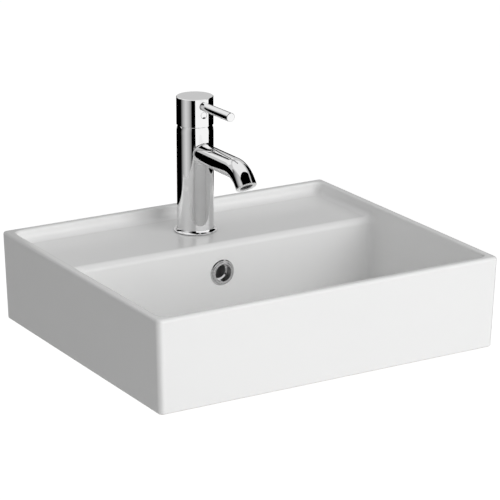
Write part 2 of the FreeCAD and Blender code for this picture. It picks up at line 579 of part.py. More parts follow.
def make_aerator():
    """Screwed ring, jet insert and seal, measured inwards from the outlet's face."""
    spot = ("0", f"-{TAP_AWAY} - {OUTLET_OUT}", f"{DECK} + {SPOUT_HEIGHT} - {OUTLET_DOWN}")
    outwards = Rotation(Vector(1, 0, 0), 90 + number("bend_angle"))
    outer = "(aerator_radius - aerator_gap)"
    holder = "(aerator_mouth + 1)"
    seal_low = "aerator_seal_height - aerator_depth"
    housing = turned("aerator_housing", [
        (holder, seal_low), (outer, seal_low), (outer, "0"), ("aerator_mouth + aerator_chamfer", "0"),
        ("aerator_mouth", "-aerator_chamfer"), ("aerator_mouth", "-aerator_lip"), (holder, "-aerator_lip")],
        spot, outwards)
    insert = ring("aerator_insert", "0", f"{holder} - insert_gap", "-aerator_lip - insert_height",
                  "-aerator_lip", spot, outwards)
    for across in range(-1, 2):
        for along in range(-1, 2):
            bar(insert, f"jet_{across + 1}{along + 1}", "Subtractive",
                (f"{across} * jet_pitch - jet_size / 2", f"{along} * jet_pitch - jet_size / 2",
                 "-aerator_lip - insert_height - 1"),
                (f"{across} * jet_pitch + jet_size / 2", f"{along} * jet_pitch + jet_size / 2",
                 "-aerator_lip + 1"))
    seal = ring("aerator_seal", f"{outer} - aerator_seal_wall", outer, "-aerator_depth", seal_low, spot,
                outwards)
    return [housing, insert, seal]


def make_cartridge_shell():
    """Housing, base with its seals, clamping nut and the ball-shaped cover over them."""
    neck_hole = "(neck_radius + neck_gap)"
    inner = "(housing_radius - housing_wall)"
    plate = "(housing_top - housing_plate)"
    housing = turned("cartridge_housing", [
        (inner, f"-{FIXED_BOTTOM}"), ("housing_radius", f"-{FIXED_BOTTOM}"),
        ("housing_radius", "housing_top"), (neck_hole, "housing_top"), (neck_hole, plate), (inner, plate)],
        AT_PIVOT)
    base = ring("cartridge_base", "0", "base_radius", f"-{BASE_BOTTOM}", f"-{FIXED_BOTTOM}", AT_PIVOT)
    height = f"{BASE_BOTTOM} - {FIXED_BOTTOM}"
    seals = []
    for side, sign in (("hot", "-"), ("cold", "")):
        port = (f"{sign}port_offset_x", "port_offset_y", f"-{BASE_BOTTOM} - 1")
        bore(base, f"{side}_way", "port_radius", f"{height} + 2", port)
        bore(base, f"{side}_groove", "inlet_seal_radius", "inlet_seal_height + 1", port)
        rod(base, f"{side}_peg", "peg_radius", "peg_length - peg_gap + 1",
            (f"{sign}peg_offset", "-peg_offset", f"-{BASE_BOTTOM} - peg_length + peg_gap"))
        seat = (f"{sign}port_offset_x", f"-{TAP_AWAY} + port_offset_y", f"{DECK} + {SEAT_HEIGHT}")
        seals.append(ring(f"{side}_inlet_seal", "port_radius", "inlet_seal_radius - inlet_seal_gap", "0",
                          "inlet_seal_height", seat))
    bar(base, "outlet_way", "Subtractive",
        ("-outlet_radius", "-base_radius - 1", f"-{FIXED_BOTTOM} - ({height}) * 0.6"),
        ("outlet_radius", "-outlet_offset + outlet_radius", f"-{FIXED_BOTTOM} + 1"))
    nut = ring("cartridge_nut", neck_hole, "nut_bore_radius - nut_gap", "housing_top",
               "housing_top + nut_height", AT_PIVOT)
    rim, key = "nut_bore_radius", "key_width / 2"
    key_floor, key_top = "housing_top + nut_height - key_depth", "housing_top + nut_height + 1"
    bar(nut, "key_across", "Subtractive", (f"-{rim}", f"-{key}", key_floor), (rim, key, key_top))
    bar(nut, "key_along", "Subtractive", (f"-{key}", f"-{rim}", key_floor), (key, rim, key_top))
    foot = "shoulder_lift"
    shell = "(body_radius - dome_wall)"
    hole = "(neck_radius + 2 * neck_gap)"
    cover = turned("cartridge_cover", [
        (f"sqrt({shell}^2 - {foot}^2)", foot),
        (f"sqrt(body_radius^2 - {foot}^2)", foot, "body_radius", 1),
        (hole, f"sqrt(body_radius^2 - {hole}^2)"),
        (hole, f"sqrt({shell}^2 - {hole}^2)", shell, -1)], AT_PIVOT)
    return [housing, base, nut, cover] + seals


def make_discs():
    """Two lapped discs, the lower one fixed, and the carrier that the lever's ball drives."""
    fixed = ring("fixed_disc", "0", "fixed_disc_radius", f"-{FIXED_BOTTOM}", f"-{DISC_BOTTOM}", AT_PIVOT)
    below = f"-{FIXED_BOTTOM} - 1"
    for name, spot in (("hot", ("-port_offset_x", "port_offset_y", below)),
                       ("cold", ("port_offset_x", "port_offset_y", below)),
                       ("outlet", ("0", "-outlet_offset", below))):
        bore(fixed, f"{name}_way", "port_radius", "fixed_disc_height + 2", spot)
    moving = ring("moving_disc", "0", "carrier_radius", f"-{DISC_BOTTOM}", "-carrier_bottom", AT_PIVOT)
    bore(moving, "mixing_hollow", "mixing_radius", "mixing_depth + 1", ("0", "0", f"-{DISC_BOTTOM} - 1"))
    carrier = ring("disc_carrier", "0", "carrier_radius", "-carrier_bottom", "-carrier_top", AT_PIVOT)
    reach = "(ball_radius + ball_gap)"
    bar(carrier, "ball_slot", "Subtractive", ("-ball_side", f"-{reach}", "-carrier_bottom + carrier_floor"),
        ("ball_side", reach, "-carrier_top + 1"))
    return [fixed, moving, carrier]


def make_lever():
    """Turning drum, cross axle and the lever whose ball end slides the discs."""
    drum_top = "(housing_top - housing_plate - drum_gap)"
    drum = turned("lever_drum", [
        ("0", "-drum_bottom"), ("drum_radius", "-drum_bottom"), ("drum_radius", drum_top),
        ("neck_radius", drum_top), ("neck_radius", "neck_top"), ("0", "neck_top")], AT_PIVOT)
    side = "(stem_width / 2 + slot_side_gap)"
    bar(drum, "lever_slot", "Subtractive", (f"-{side}", "-slot_front", "-drum_bottom - 1"),
        (side, "slot_rear", "neck_top + 1"))
    bore(drum, "axle_hole", "axle_radius + axle_gap", "2 * drum_radius + 2", ("-drum_radius - 1", "0", "0"),
         ALONG_X)
    axle = ring("lever_axle", "0", "axle_radius", "-axle_length / 2", "axle_length / 2", AT_PIVOT, ALONG_X)
    lever = new_body("cartridge_lever", AT_PIVOT)
    half = "stem_width / 2"
    bar(lever, "stem", "Additive", (f"-{half}", f"-{half}", "-stem_bottom"), (half, half, "stem_top"))
    rod(lever, "finger", "finger_radius", "ball_drop - stem_bottom + 1", ("0", "0", "-ball_drop"))
    solid(lever, "AdditiveSphere", "ball", ("0", "0", "-ball_drop"), Radius="ball_radius")
    bore(lever, "axle_hole", "axle_radius + axle_gap", "stem_width + 2", (f"-{half} - 1", "0", "0"),
         ALONG_X)
    return [drum, axle, lever]


def make_cap():
    """Hollow cap over the ball shoulder, with a boss for the lever and a rib for screw and pin."""
    inner = "(body_radius - cap_wall)"
    cap = turned("handle_cap", [
        (CAP_MOUTH, CAP_BOTTOM), ("body_radius - cap_edge", CAP_BOTTOM),
        ("body_radius", f"{CAP_BOTTOM} + cap_edge"),
        ("body_radius", f"{CAP_TOP} - cap_top_chamfer"), ("body_radius - cap_top_chamfer", CAP_TOP),
        ("0", CAP_TOP), ("0", f"{CAP_TOP} - cap_plate"),
        (inner, f"{CAP_TOP} - cap_plate"), (inner, f"{CAP_BOTTOM} + cap_mouth_rise")], AT_MIXER)
    boss_low = "(pivot_height + cap_boss_bottom)"
    plate_low = f"{CAP_TOP} - cap_plate + 1"
    rod(cap, "boss", "cap_boss_radius", f"{plate_low} - {boss_low}", ("0", "0", boss_low))
    bar(cap, "rib", "Additive", ("-cap_rib_width / 2", f"-{inner} - 0.5", boss_low),
        ("cap_rib_width / 2", "0", plate_low))
    grip = "(stem_width / 2 + socket_gap)"
    bar(cap, "socket", "Subtractive", (f"-{grip}", f"-{grip}", f"{boss_low} - 1"),
        (grip, grip, "pivot_height + stem_top + socket_gap"))
    rise = Rotation(Vector(1, 0, 0), 90 - number("lever_rise"))
    for name, radius, start in (("pin_hole", "lever_spigot_radius + lever_gap", "lever_spigot_root - 0.5"),
                                ("pin_recess", "lever_radius + lever_recess_gap", "lever_root")):
        out = f"-({start}) * cos(lever_rise * 1 deg)"
        up = f"{LEVER_HEIGHT} + ({start}) * sin(lever_rise * 1 deg)"
        bore(cap, name, radius, "body_radius", ("0", out, up), rise)
    bore(cap, "screw_hole", "screw_radius + screw_gap", "body_radius", ("0", "0", SCREW_HEIGHT),
         TOWARDS_ROOM)
    bore(cap, "index_hole", "index_radius + index_gap", "cap_wall + 3", ("0", "-index_root", SCREW_HEIGHT),
         TOWARDS_ROOM)
    return cap


def make_handle():
    rise = Rotation(Vector(1, 0, 0), 90 - number("lever_rise"))
    pin = turned("handle_pin", [
        ("0", "lever_spigot_root"), ("lever_spigot_radius", "lever_spigot_root"),
        ("lever_spigot_radius", "lever_root"), ("lever_radius", "lever_root"),
        ("lever_radius", "lever_reach - lever_chamfer"), ("lever_radius - lever_chamfer", "lever_reach"),
        ("0", "lever_reach")], ("0", f"-{TAP_AWAY}", f"{DECK} + {LEVER_HEIGHT}"), rise)
    at_screw = ("0", f"-{TAP_AWAY}", f"{DECK} + {SCREW_HEIGHT}")
    screw_tip = "(stem_width / 2)"
    screw_end = f"{screw_tip} + screw_length"
    screw = ring("grub_screw", "0", "screw_radius", screw_tip, screw_end, at_screw, TOWARDS_ROOM)
    bore(screw, "key_socket", "screw_key_radius", "screw_length / 3 + 1",
         ("0", "0", f"{screw_end} - screw_length / 3"))
    index = ring("index_plug", "0", "index_radius", "index_root", "index_face", at_screw, TOWARDS_ROOM)
    dress(index, "edge", "Fillet", "index_round", lambda edge, p: near(p.z, "index_face"))
    return [make_cap(), pin, screw, index]


def shoe(name, bottom, top):
    """A horseshoe plate that leaves the front of the tap hole free for two hoses."""
    body = ring(name, "0", "shoe_radius", bottom, top, AT_MIXER)
    bar(body, "hose_slot", "Subtractive", ("-shoe_slot_half", "-shoe_radius - 1", f"{bottom} - 1"),
        ("shoe_slot_half", "shoe_slot_end", f"{top} + 1"))
    bore(body, "stud_hole", "stud_radius + stud_gap", f"({top}) - ({bottom}) + 2",
         ("0", "stud_offset", f"{bottom} - 1"))
    return body


def make_fixing():
    at_stud = ("0", f"-{TAP_AWAY} + stud_offset", DECK)
    seal_low = "(-deck_wall - shoe_seal_height)"
    shoe_low = "(-deck_wall - shoe_seal_height - shoe_height)"
    return [
        shoe("shoe_seal", seal_low, "-deck_wall"),
        shoe("shoe_plate", shoe_low, seal_low),
        hexagon("fixing_nut", "fixing_nut_across", "stud_radius + stud_gap",
                f"{shoe_low} - fixing_nut_height", shoe_low, at_stud),
        ring("fixing_stud", "0", "stud_radius", "-stud_drop", f"{SEAT_UNDER} + stud_engage", at_stud),
    ]


def refuse_faults(bodies):
    doc.recompute()
    for thing in doc.Objects:
        if "Invalid" in thing.State or "Error" in thing.State:
            raise ValueError(f"{thing.Name} failed: {thing.State}")
    for body in bodies:
        shape = body.Shape
        if shape.isNull() or not shape.isValid() or len(shape.Solids) != 1:
            raise ValueError(f"{body.Label} has a faulty shape")


def main():
    bodies = make_basin() + make_overflow() + make_waste()
    bodies += [make_mixer_body(), make_spout()] + make_foot() + make_aerator()
    bodies += make_cartridge_shell() + make_discs() + make_lever() + make_handle() + make_fixing()
    refuse_faults(bodies)
    os.makedirs("parts", exist_ok=True)
    for body in bodies:
        body.Shape.exportStep(f"parts/{body.Label}.step")
        box = body.Shape.BoundBox
        print(f"{body.Label}: {box.XLength:.1f} x {box.YLength:.1f} x {box.ZLength:.1f} mm,"
              f" {body.Shape.Volume / 1000:.2f} cm3")


main()
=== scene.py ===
# %% Load the solids
import json
import math

import bpy
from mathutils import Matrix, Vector


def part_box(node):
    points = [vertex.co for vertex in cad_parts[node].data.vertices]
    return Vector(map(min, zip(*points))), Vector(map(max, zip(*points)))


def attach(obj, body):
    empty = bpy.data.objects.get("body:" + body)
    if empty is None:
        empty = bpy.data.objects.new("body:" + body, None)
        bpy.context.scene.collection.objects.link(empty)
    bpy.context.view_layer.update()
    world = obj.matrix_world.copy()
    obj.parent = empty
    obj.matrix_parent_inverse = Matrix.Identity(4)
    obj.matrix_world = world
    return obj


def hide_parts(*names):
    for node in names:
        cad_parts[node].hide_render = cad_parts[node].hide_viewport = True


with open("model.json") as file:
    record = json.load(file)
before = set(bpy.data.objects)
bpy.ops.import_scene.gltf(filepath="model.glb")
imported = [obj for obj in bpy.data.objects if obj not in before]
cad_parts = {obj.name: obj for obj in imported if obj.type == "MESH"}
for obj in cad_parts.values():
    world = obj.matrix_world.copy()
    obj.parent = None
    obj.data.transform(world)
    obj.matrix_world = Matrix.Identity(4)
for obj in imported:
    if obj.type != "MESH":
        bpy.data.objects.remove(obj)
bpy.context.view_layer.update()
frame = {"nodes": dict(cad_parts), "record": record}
bpy.ops.object.select_all(action="DESELECT")

# %% [markdown]
# # A wall-hung basin with a pin-lever mixer
#
# The solids come from the workshop drawing in their true size, in metres. The wall is at Y = 0,
# the user stands on the -Y side and Z is up. This lesson lights them, gives each one its finish,
# and models again the few pieces whose fine edges decide how they catch the light.

# %% [markdown]
# ## Camera
#
# The basin is seen from the user's left, a little from above, through a long lens that keeps its
# edges nearly parallel. The view was found from the four corners of the rim: one camera maps a
# rectangle of the right proportions onto them.

# %% Camera
lens = bpy.data.cameras.new("long_lens")
lens.sensor_width = 36
lens.lens = 184.69
camera = bpy.data.objects.new("camera", lens)
camera.location = (-1.62910, -2.96872, 1.06180)
camera.rotation_euler = (math.radians(72.60), 0, math.radians(-30.69))
bpy.context.scene.collection.objects.link(camera)
bpy.context.scene.camera = camera
bpy.context.scene.view_settings.view_transform = "Standard"
print("camera", round(camera.location.length, 3), "m from the wall bolts")

# %% [markdown]
# ## Shader maths
#
# A pattern in a shader is a chain of small maths nodes. Wrapping a socket in a class that knows
# plus, minus and times lets the chain be written as a sum, and one method adds every other kind
# of node.


# %% Wire, a socket that can be reckoned with
class Wire:
    """One output of a shader node; sums and products of wires add Math nodes."""

    def __init__(self, tree, socket=None):
        self.tree = tree
        self.socket = socket

    def node(self, kind, settings=None, inputs=None, out=0):
        made = self.tree.nodes.new("ShaderNode" + kind)
        for name, value in (settings or {}).items():
            if name == "stops":
                ramp = made.color_ramp.elements
                while len(ramp) < len(value):
                    ramp.new(0.5)
                for element, (place, shade) in zip(ramp, value):
                    element.position = place
                    element.color = (shade, shade, shade, 1)
            else:
                setattr(made, name, value)
        for name, value in (inputs or {}).items():
            if isinstance(value, Wire):
                self.tree.links.new(value.socket, made.inputs[name])
            else:
                made.inputs[name].default_value = value
        return Wire(self.tree, made.outputs[out] if made.outputs else None)

    def maths(self, operation, first, second):
        return self.node("Math", {"operation": operation}, {0: first, 1: second})

    def __add__(self, other):
        return self.maths("ADD", self, other)

    def __sub__(self, other):
        return self.maths("SUBTRACT", self, other)

    def __rsub__(self, other):
        return self.maths("SUBTRACT", other, self)

    def __mul__(self, other):
        return self.maths("MULTIPLY", self, other)

    def __gt__(self, other):
        return self.maths("GREATER_THAN", self, other)

    def __lt__(self, other):
        return self.maths("LESS_THAN", self, other)

    __radd__ = __add__
    __rmul__ = __mul__


def empty_tree(owner):
    owner.use_nodes = True
    owner.node_tree.nodes.clear()
    return Wire(owner.node_tree)


print("sums, products and comparisons of sockets are ready")

# %% [markdown]
# ## Studio
#
# The room is white. One soft lamp stands at the front, to the right of the user, and the sky fills
# in. The background is white because the floor and the sky send plain white to the camera, and not
# because more light falls on the basin. Mirrors see the same white floor, and a grey ceiling above
# it, because chrome under an all-white dome looks like white paint.

# %% Sky
SKY_FILL = 0.465
CEILING_GREY = 0.60

world = bpy.data.worlds.new("white_room")
bpy.context.scene.world = world
sky = empty_tree(world)
glow = sky.node("LightPath", out="Is Camera Ray") * (1 - SKY_FILL) + SKY_FILL
glow = sky.node("LightPath", out="Is Glossy Ray") * (CEILING_GREY - SKY_FILL) + glow
glow = sky.node("LightPath", out="Is Transmission Ray") * (1 - SKY_FILL) + glow
dome = sky.node("Background", inputs={"Color": (1, 1, 1, 1), "Strength": glow})
sky.node("OutputWorld", inputs={"Surface": dome})
print("sky fill", SKY_FILL)

# %% Floor
FLOOR_SIZE = 30
FLOOR_HEIGHT = -0.85
FLOOR_GREY = 0.7
FLOOR_LIFT = 0.68

bpy.ops.mesh.primitive_plane_add(size=FLOOR_SIZE, location=(0, 0, FLOOR_HEIGHT))
floor = bpy.context.object
floor.name = "floor"
paint = bpy.data.materials.new("floor_paint")
tree = empty_tree(paint)
seen = tree.node("LightPath", out="Is Camera Ray")
for ray in ("Is Glossy Ray", "Is Transmission Ray"):
    seen = tree.maths("MAXIMUM", seen, tree.node("LightPath", out=ray))
lit = tree.node("BsdfDiffuse", inputs={"Color": (FLOOR_GREY, FLOOR_GREY, FLOOR_GREY, 1)})
lift = tree.node("Emission", inputs={"Strength": seen * FLOOR_LIFT})
tree.node("OutputMaterial", inputs={"Surface": tree.node("AddShader", inputs={0: lit, 1: lift})})
floor.data.materials.append(paint)
print("floor at", FLOOR_HEIGHT, "m")

# %% Lamp
LAMP_POWER = 161
LAMP_SIZE = 3.8
LAMP_PLACE = Vector((1.7, -5.25, 1.65))
LAMP_TARGET = Vector((0, -0.25, 0.05))

lamp = bpy.data.lights.new("front_lamp", "AREA")
lamp.energy = LAMP_POWER
lamp.size = LAMP_SIZE
holder = bpy.data.objects.new("front_lamp", lamp)
holder.location = LAMP_PLACE
holder.rotation_euler = (LAMP_TARGET - LAMP_PLACE).to_track_quat("-Z", "Y").to_euler()
holder.visible_glossy = False
bpy.context.scene.collection.objects.link(holder)
print("front lamp", LAMP_POWER, "W")

# %% [markdown]
# Polished chrome shows nothing but its surroundings, so a studio surrounds it with black flags and
# white panels. They stand in a circle round the mixer and hang above it, and only mirrors see them:
# the basin's light and shadows stay as the lamp and the sky make them. A standing panel is given by
# the bearings of its two edges, counted in degrees from the camera's side.


# %% A panel for mirrors
def panel(name, place, turn, width, height, stops):
    """A flat panel for reflections alone, shaded from its left to its right edge."""
    bpy.ops.mesh.primitive_plane_add(size=1, location=place, rotation=turn)
    made = bpy.context.object
    made.name = name
    made.scale = (width, height, 1)
    made.visible_camera = False
    made.visible_diffuse = False
    made.visible_shadow = False
    cloth = bpy.data.materials.new(name + "_cloth")
    tree = empty_tree(cloth)
    across = tree.node("SeparateXYZ", inputs={0: tree.node("TexCoord", out="Object")})
    shade = tree.node("ValToRGB", {"stops": stops}, {0: across + 0.5})
    tree.node("OutputMaterial", inputs={"Surface": tree.node("Emission", inputs={"Color": shade})})
    made.data.materials.append(cloth)


MIXER_AXIS = -0.08
PANEL_FOOT = -1.2
PANEL_DISTANCE = 1.6
SQUARE = math.radians(90)


def standing(name, left, right, top, stops, bottom=PANEL_FOOT, distance=PANEL_DISTANCE):
    """A panel upright on a circle round the mixer, between two bearings."""
    bearing, half = math.radians((left + right) / 2), math.radians((right - left) / 2)
    facing = camera.rotation_euler.z - SQUARE + bearing
    depth = distance * math.cos(half)
    place = (depth * math.cos(facing), MIXER_AXIS + depth * math.sin(facing), (bottom + top) / 2)
    turn = (SQUARE, 0, facing + SQUARE)
    panel(name, place, turn, 2 * distance * math.sin(half), top - bottom, stops)


print("panels can be set up")

# %% Flags and panels
BLACK = [(0, 0.0), (1, 0.0)]
WHITE = [(0, 1.0), (1, 1.0)]
PALE = [(0, 0.88), (1, 0.88)]
SOFT_GREY = [(0, 0.06), (0.28, 0.45), (0.5, 0.68), (0.72, 0.52), (1, 0.18)]
LEVEL = (0, 0, 0)

standing("left_flag", -156, -92, 0.44, BLACK)
standing("near_flag", -140, -92, 0.247, BLACK, distance=0.4)
standing("left_softbox", -92, -20, 0.95, SOFT_GREY)
standing("middle_flag", -20, 4, 1.3, BLACK)
standing("right_softbox", 4, 94, 1.0, WHITE)
standing("right_flag", 94, 152, 1.3, BLACK)
standing("back_flag", 152, 204, 0.40, BLACK)
standing("far_flag", 152, 204, 2.03, BLACK, bottom=-0.8, distance=8.9)
standing("back_panel", -172, -108, 1.6, PALE, bottom=0.8)
panel("front_canopy", (-0.5, -1.06, 1.2), LEVEL, 2.7, 1.28, BLACK)
panel("overhead_panel", (-0.3, 0.1, 1.5), LEVEL, 2.6, 1.6, PALE)
print("nine panels stand round the mixer and two hang above it")

# %% [markdown]
# ## Glaze
#
# The basin is one casting of vitreous china under a thick white glaze. Up close the glaze ripples a
# little, so its gloss and its highlights are broken by a faint slow wave, and its white drifts by a
# hair. The clay is bare where the basin meets the wall and along its foot, where it stood in the
# kiln: there a mask by height and depth takes the gloss away and shows the warmer, grainy body.
# Behind the overflow ring the duct is painted a plain darker grey: painted shade inside the hole.


# %% Helpers for a finish
def finish(name):
    made = bpy.data.materials.new(name)
    return made, empty_tree(made)


def mixed(tree, share, low, high):
    """A colour between two, by a share that varies."""
    return tree.node("Mix", {"data_type": "RGBA"}, {0: share, 6: low, 7: high}, out=2)


def noise(tree, coords, scale, detail):
    return tree.node("TexNoise", inputs={"Vector": coords, "Scale": scale, "Detail": detail})


def axes(tree, coords):
    """The three coordinates: across, depth and height."""
    return [tree.node("SeparateXYZ", inputs={0: coords}, out=axis) for axis in range(3)]


print("noise, mixing and coordinates are ready")

# %% White glaze over bare clay
BARE_AT_WALL = -0.0009
BARE_AT_FOOT = -0.0530
RAGGED_EDGE = 0.0006
DUCT_START = 0.0005
DUCT_END = 0.022
BOSS_BOTTOM = -0.066

glaze, tree = finish("white_glaze")
coords = tree.node("TexCoord", out="Object")
across, depth, height = axes(tree, coords)
drift = noise(tree, coords, 5.0, 2.0)
ripple = noise(tree, coords, 38.0, 1.0)
grain = noise(tree, coords, 1400.0, 3.0)
ragged = grain * RAGGED_EDGE
bare = tree.maths("MAXIMUM", depth + ragged > BARE_AT_WALL, height + ragged < BARE_AT_FOOT)
low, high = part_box("overflow_ring")
# painted shade: the overflow duct behind the ring is painted a darker grey
painted_duct_shade = (depth > high[1] + DUCT_START) * (depth < high[1] + DUCT_END) * (height < high[2])
painted_duct_shade = painted_duct_shade * (across > low[0]) * (across < high[0]) * (height > BOSS_BOTTOM)
white = mixed(tree, drift, (0.92, 0.92, 0.915, 1), (0.90, 0.902, 0.90, 1))
white = mixed(tree, painted_duct_shade, white, (0.55, 0.55, 0.55, 1))
clay = mixed(tree, grain, (0.70, 0.66, 0.60, 1), (0.78, 0.75, 0.70, 1))
relief = ripple * (1 - bare) + grain * bare
waves = tree.node("Bump", inputs={"Strength": 0.05, "Distance": 0.002, "Height": relief})
shell = tree.node("BsdfPrincipled", inputs={
    "Base Color": mixed(tree, bare, white, clay), "Roughness": drift * 0.06 + bare * 0.5 + 0.2,
    "Normal": waves, "IOR": 1.5})
tree.node("OutputMaterial", inputs={"Surface": shell})
print("glaze with bare clay at the wall and the foot")

# %% [markdown]
# ## Chrome
#
# The mixer and the rings are brass under a thin plate of chromium, buffed to a mirror. A flawless
# mirror looks computed, so the roughness drifts slightly, as buffing leaves it, and the plate has a
# trace of cloud. The overflow ring is moulded plastic under a plate, and that plate is a darker
# copy
# of the chrome: painted shade, so that the ring shows grey inside the bowl.


# %% Polished chrome
def chrome_plate(name, shine, relief=None):
    made, tree = finish(name)
    coords = tree.node("TexCoord", out="Object")
    cloud = noise(tree, coords, 60.0, 3.0)
    dull, bright = shine - 0.02, shine + 0.02
    plate = mixed(tree, cloud, (dull, dull, dull + 0.005, 1), (bright, bright, bright, 1))
    surface = {"Base Color": plate, "Metallic": 1.0, "Roughness": cloud * 0.03 + 0.012}
    if relief:
        surface["Normal"] = relief(tree, coords)
    tree.node("OutputMaterial", inputs={"Surface": tree.node("BsdfPrincipled", inputs=surface)})
    return made


CHROME_SHINE = 0.91
chrome = chrome_plate("polished_chrome", CHROME_SHINE)
# painted shade: the overflow ring's plate is a darker copy of the chrome
shaded_ring_chrome = chrome_plate("plated_plastic_painted_shade", 0.70)
print("chrome, and a duller plate")

# %% [markdown]
# The waste's tail is threaded for its back nut. A thread is a ridge that climbs by one pitch in
# each turn, so its height is a triangle wave of the height plus the angle round the axis. As relief
# in the shader it costs no faces, and a mask keeps it off the flange and the plain end.


# %% Threaded chrome
def middle(low, high):
    return [(a + b) / 2 for a, b in zip(low, high)]


TAIL_PITCH = 0.00231
PLAIN_END = 0.020
FLANGE_ROOM = 0.012
tail_low, tail_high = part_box("waste_body")
tail_axis = middle(tail_low, tail_high)
thread_low, thread_high = tail_low[2] + PLAIN_END, tail_high[2] - FLANGE_ROOM


def tail_thread(tree, coords):
    across, depth, height = axes(tree, coords)
    turn = tree.maths("ARCTAN2", depth - tail_axis[1], across - tail_axis[0]) * (1 / math.tau)
    ridge = tree.maths("PINGPONG", height * (1 / TAIL_PITCH) + turn, 0.5)
    threaded = (height > thread_low) * (height < thread_high)
    return tree.node("Bump", inputs={
        "Strength": 1.0, "Distance": 0.002, "Height": ridge * threaded})


tail_chrome = chrome_plate("threaded_chrome", CHROME_SHINE, tail_thread)
print("thread on the waste from", round(thread_low, 4), "m up")

# %% [markdown]
# ## Brass and steel
#
# The nuts are plain turned brass and the rods and plates zinc-plated steel. Both carry fine tool
# lines. Noise that is stretched along one axis draws such lines: a Mapping node squeezes the
# coordinates so that the lines run round a turned piece.


# %% Turned brass and plated steel
def tooled(name, low, high, rough, lines):
    made, tree = finish(name)
    coords = tree.node("TexCoord", out="Object")
    squeezed = tree.node("Mapping", inputs={"Vector": coords, "Scale": lines})
    marks = noise(tree, squeezed, 1.0, 3.0)
    stain = noise(tree, coords, 140.0, 4.0)
    relief = tree.node("Bump", inputs={"Strength": 0.12, "Distance": 0.0004, "Height": marks})
    tree.node("OutputMaterial", inputs={"Surface": tree.node("BsdfPrincipled", inputs={
        "Base Color": mixed(tree, stain, low, high), "Metallic": 1.0,
        "Roughness": marks * 0.12 + stain * 0.1 + rough, "Normal": relief})})
    return made


brass = tooled(
    "turned_brass", (0.78, 0.60, 0.31, 1), (0.66, 0.49, 0.24, 1), 0.14, (60, 60, 2600))
steel = tooled(
    "plated_steel", (0.66, 0.66, 0.67, 1), (0.56, 0.57, 0.59, 1), 0.20, (90, 90, 1800))
print("brass and steel")

# %% [markdown]
# ## Rubber, plastic and ceramic discs
#
# Seals are black moulded rubber with a matt bloom. The cartridge and the washer are pale moulded
# plastic with the fine texture of a mould, and the aerator's grille is dark. The valve discs are
# lapped ceramic, matt and slightly speckled. One recipe serves all four: two shades, a speckle, a
# roughness and a small relief.


# %% Moulded and lapped finishes
def moulded(name, low, high, rough, scale, relief):
    made, tree = finish(name)
    coords = tree.node("TexCoord", out="Object")
    speckle = noise(tree, coords, scale, 4.0)
    bumps = tree.node("Bump", inputs={
        "Strength": relief, "Distance": 0.0003, "Height": speckle})
    tree.node("OutputMaterial", inputs={"Surface": tree.node("BsdfPrincipled", inputs={
        "Base Color": mixed(tree, speckle, low, high), "Roughness": speckle * 0.15 + rough,
        "Normal": bumps})})
    return made


rubber = moulded(
    "black_rubber", (0.025, 0.025, 0.026, 1), (0.06, 0.06, 0.06, 1), 0.55, 700.0, 0.3)
plastic = moulded(
    "pale_plastic", (0.72, 0.72, 0.70, 1), (0.79, 0.79, 0.77, 1), 0.35, 1100.0, 0.15)
# the dark plastic is the aerator's grille, and also the painted shade in the index plug's notch
dark_plastic_and_painted_shade = moulded(
    "dark_plastic_and_painted_shade", (0.010, 0.010, 0.011, 1), (0.03, 0.03, 0.031, 1), 0.45, 1100.0, 0.15)
disc = moulded(
    "lapped_ceramic", (0.90, 0.88, 0.84, 1), (0.84, 0.82, 0.78, 1), 0.22, 2200.0, 0.05)
print("rubber, two plastics and lapped ceramic")

# %% [markdown]
# The record of the part names a material slot for every solid, so one loop hands the finishes out.
# Only the waste differs from its slot, by its thread.

# %% Finishes on the solids
FINISHES = {
    "glaze": glaze, "chrome": chrome, "brass": brass, "steel": steel, "rubber": rubber,
    "plastic": plastic, "grille": dark_plastic_and_painted_shade, "disc": disc}
SPECIAL = {"waste_body": tail_chrome}
for part in frame["record"]["subparts"]:
    solid = frame["nodes"][part["node"]]
    chosen = SPECIAL.get(part["node"], FINISHES[part["material_slot"]])
    solid.material_slots[0].material = chosen

# %% [markdown]
# ## Turned pieces
#
# Rings, plugs and buttons come off a lathe, and so do their models: an outline is drawn as a chain
# of extruded points and spun round the axis. Every corner of the outline gets a small arc, because
# a real edge is never sharp and it is that arc that shows as a bright line.

# %% An outline with rounded corners
CORNER_FACETS = 5


def rounded(corners, facets=CORNER_FACETS):
    """Points from the (radius, height, rounding) corners of a closed outline, in millimetres."""
    points = []
    neighbours = zip(corners[-1:] + corners[:-1], corners, corners[1:] + corners[:1])
    for before, here, after in neighbours:
        corner = Vector(here[:2])
        if not here[2]:
            points.append(corner)
            continue
        back = (Vector(before[:2]) - corner).normalized()
        onward = (Vector(after[:2]) - corner).normalized()
        half = back.angle(onward) / 2
        centre = corner + (back + onward).normalized() * (here[2] / math.sin(half))
        start = corner + back * (here[2] / math.tan(half)) - centre
        sweep = math.copysign(math.pi - 2 * half, back.x * onward.y - back.y * onward.x)
        for step in range(facets + 1):
            turn = -sweep * step / facets
            points.append(centre + Vector((
                start.x * math.cos(turn) - start.y * math.sin(turn),
                start.x * math.sin(turn) + start.y * math.cos(turn))))
    return points


print("corners are rounded in", CORNER_FACETS, "facets")

# %% A lathe
SEED = 0.001
CHAIN_WELD = 1e-7
SPIN_WELD = 1e-6
SPIN_STEPS = 96
MILLIMETRE = 1000


def draw_chain(name, start, steps):
    """A new piece in edit mode: one point at start, extruded by each step in turn."""
    bpy.ops.object.select_all(action="DESELECT")
    bpy.ops.mesh.primitive_plane_add(size=SEED)
    piece = bpy.context.object
    piece.name = name
    bpy.ops.object.mode_set(mode="EDIT")
    bpy.ops.mesh.merge(type="CENTER")
    bpy.ops.transform.translate(value=start)
    for step in steps:
        bpy.ops.mesh.extrude_region_move(TRANSFORM_OT_translate={"value": step})
    return piece


def close_seam():
    """In edit mode, joins the points that meet and turns all faces outwards."""
    bpy.ops.mesh.select_all(action="SELECT")
    bpy.ops.mesh.remove_doubles(threshold=SPIN_WELD)
    bpy.ops.mesh.normals_make_consistent(inside=False)


